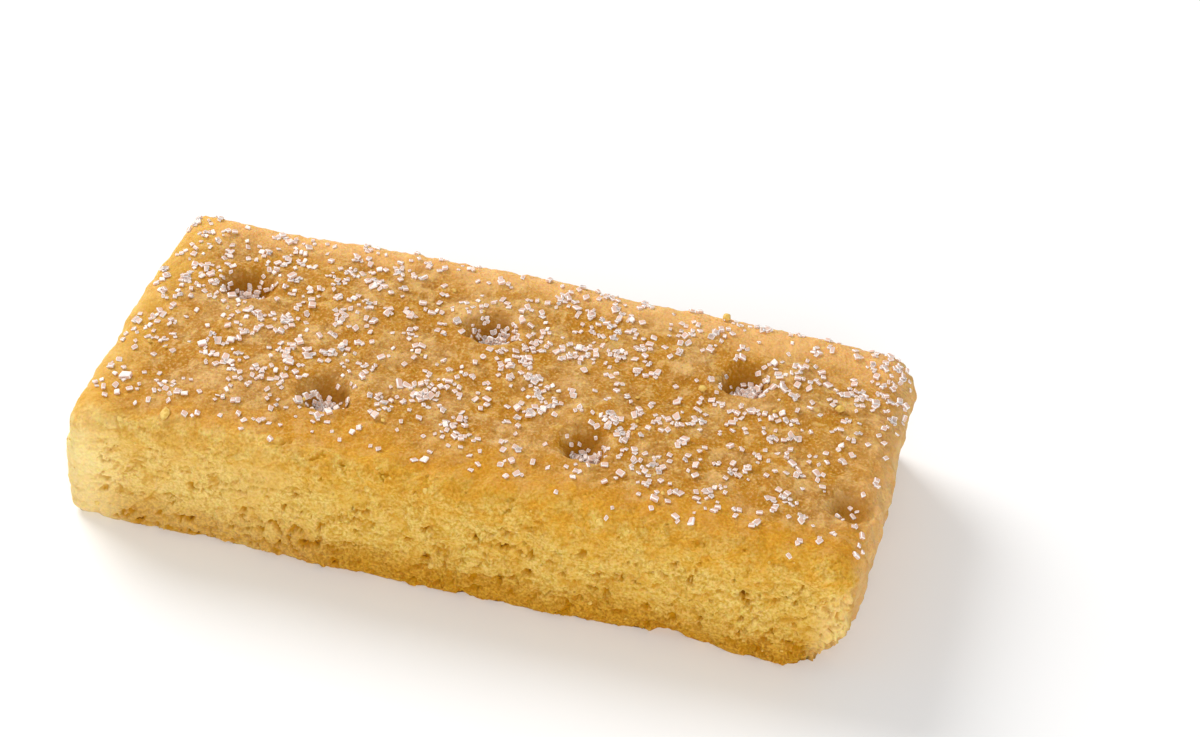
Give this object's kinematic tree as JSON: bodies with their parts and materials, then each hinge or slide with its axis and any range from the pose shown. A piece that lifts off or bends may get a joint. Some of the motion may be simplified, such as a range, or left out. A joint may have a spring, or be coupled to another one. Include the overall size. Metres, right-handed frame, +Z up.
{
  "type": "shortbread biscuit",
  "caption": "Thick sugared shortbread finger: a soft-edged oblong bar with pricked holes in its baked top, a crumbly cut long side and a flat base.",
  "frame": {"origin": "middle of the flat base, on the surface that the biscuit lies on", "axes": "+X along the length towards the undercut end with the worn corner, +Y towards the smooth long side, away from the crumbly cut side, +Z up through the pricked top"},
  "size_m": [0.0824, 0.0358, 0.0148],
  "materials": {
    "shortbread": "satin baked crust over a dull, grainy crumb",
    "sugar": "clear granulated sugar crystals"
  },
  "bodies": {
    "root": {"biscuit": "shortbread"}
  },
  "joints": []
}
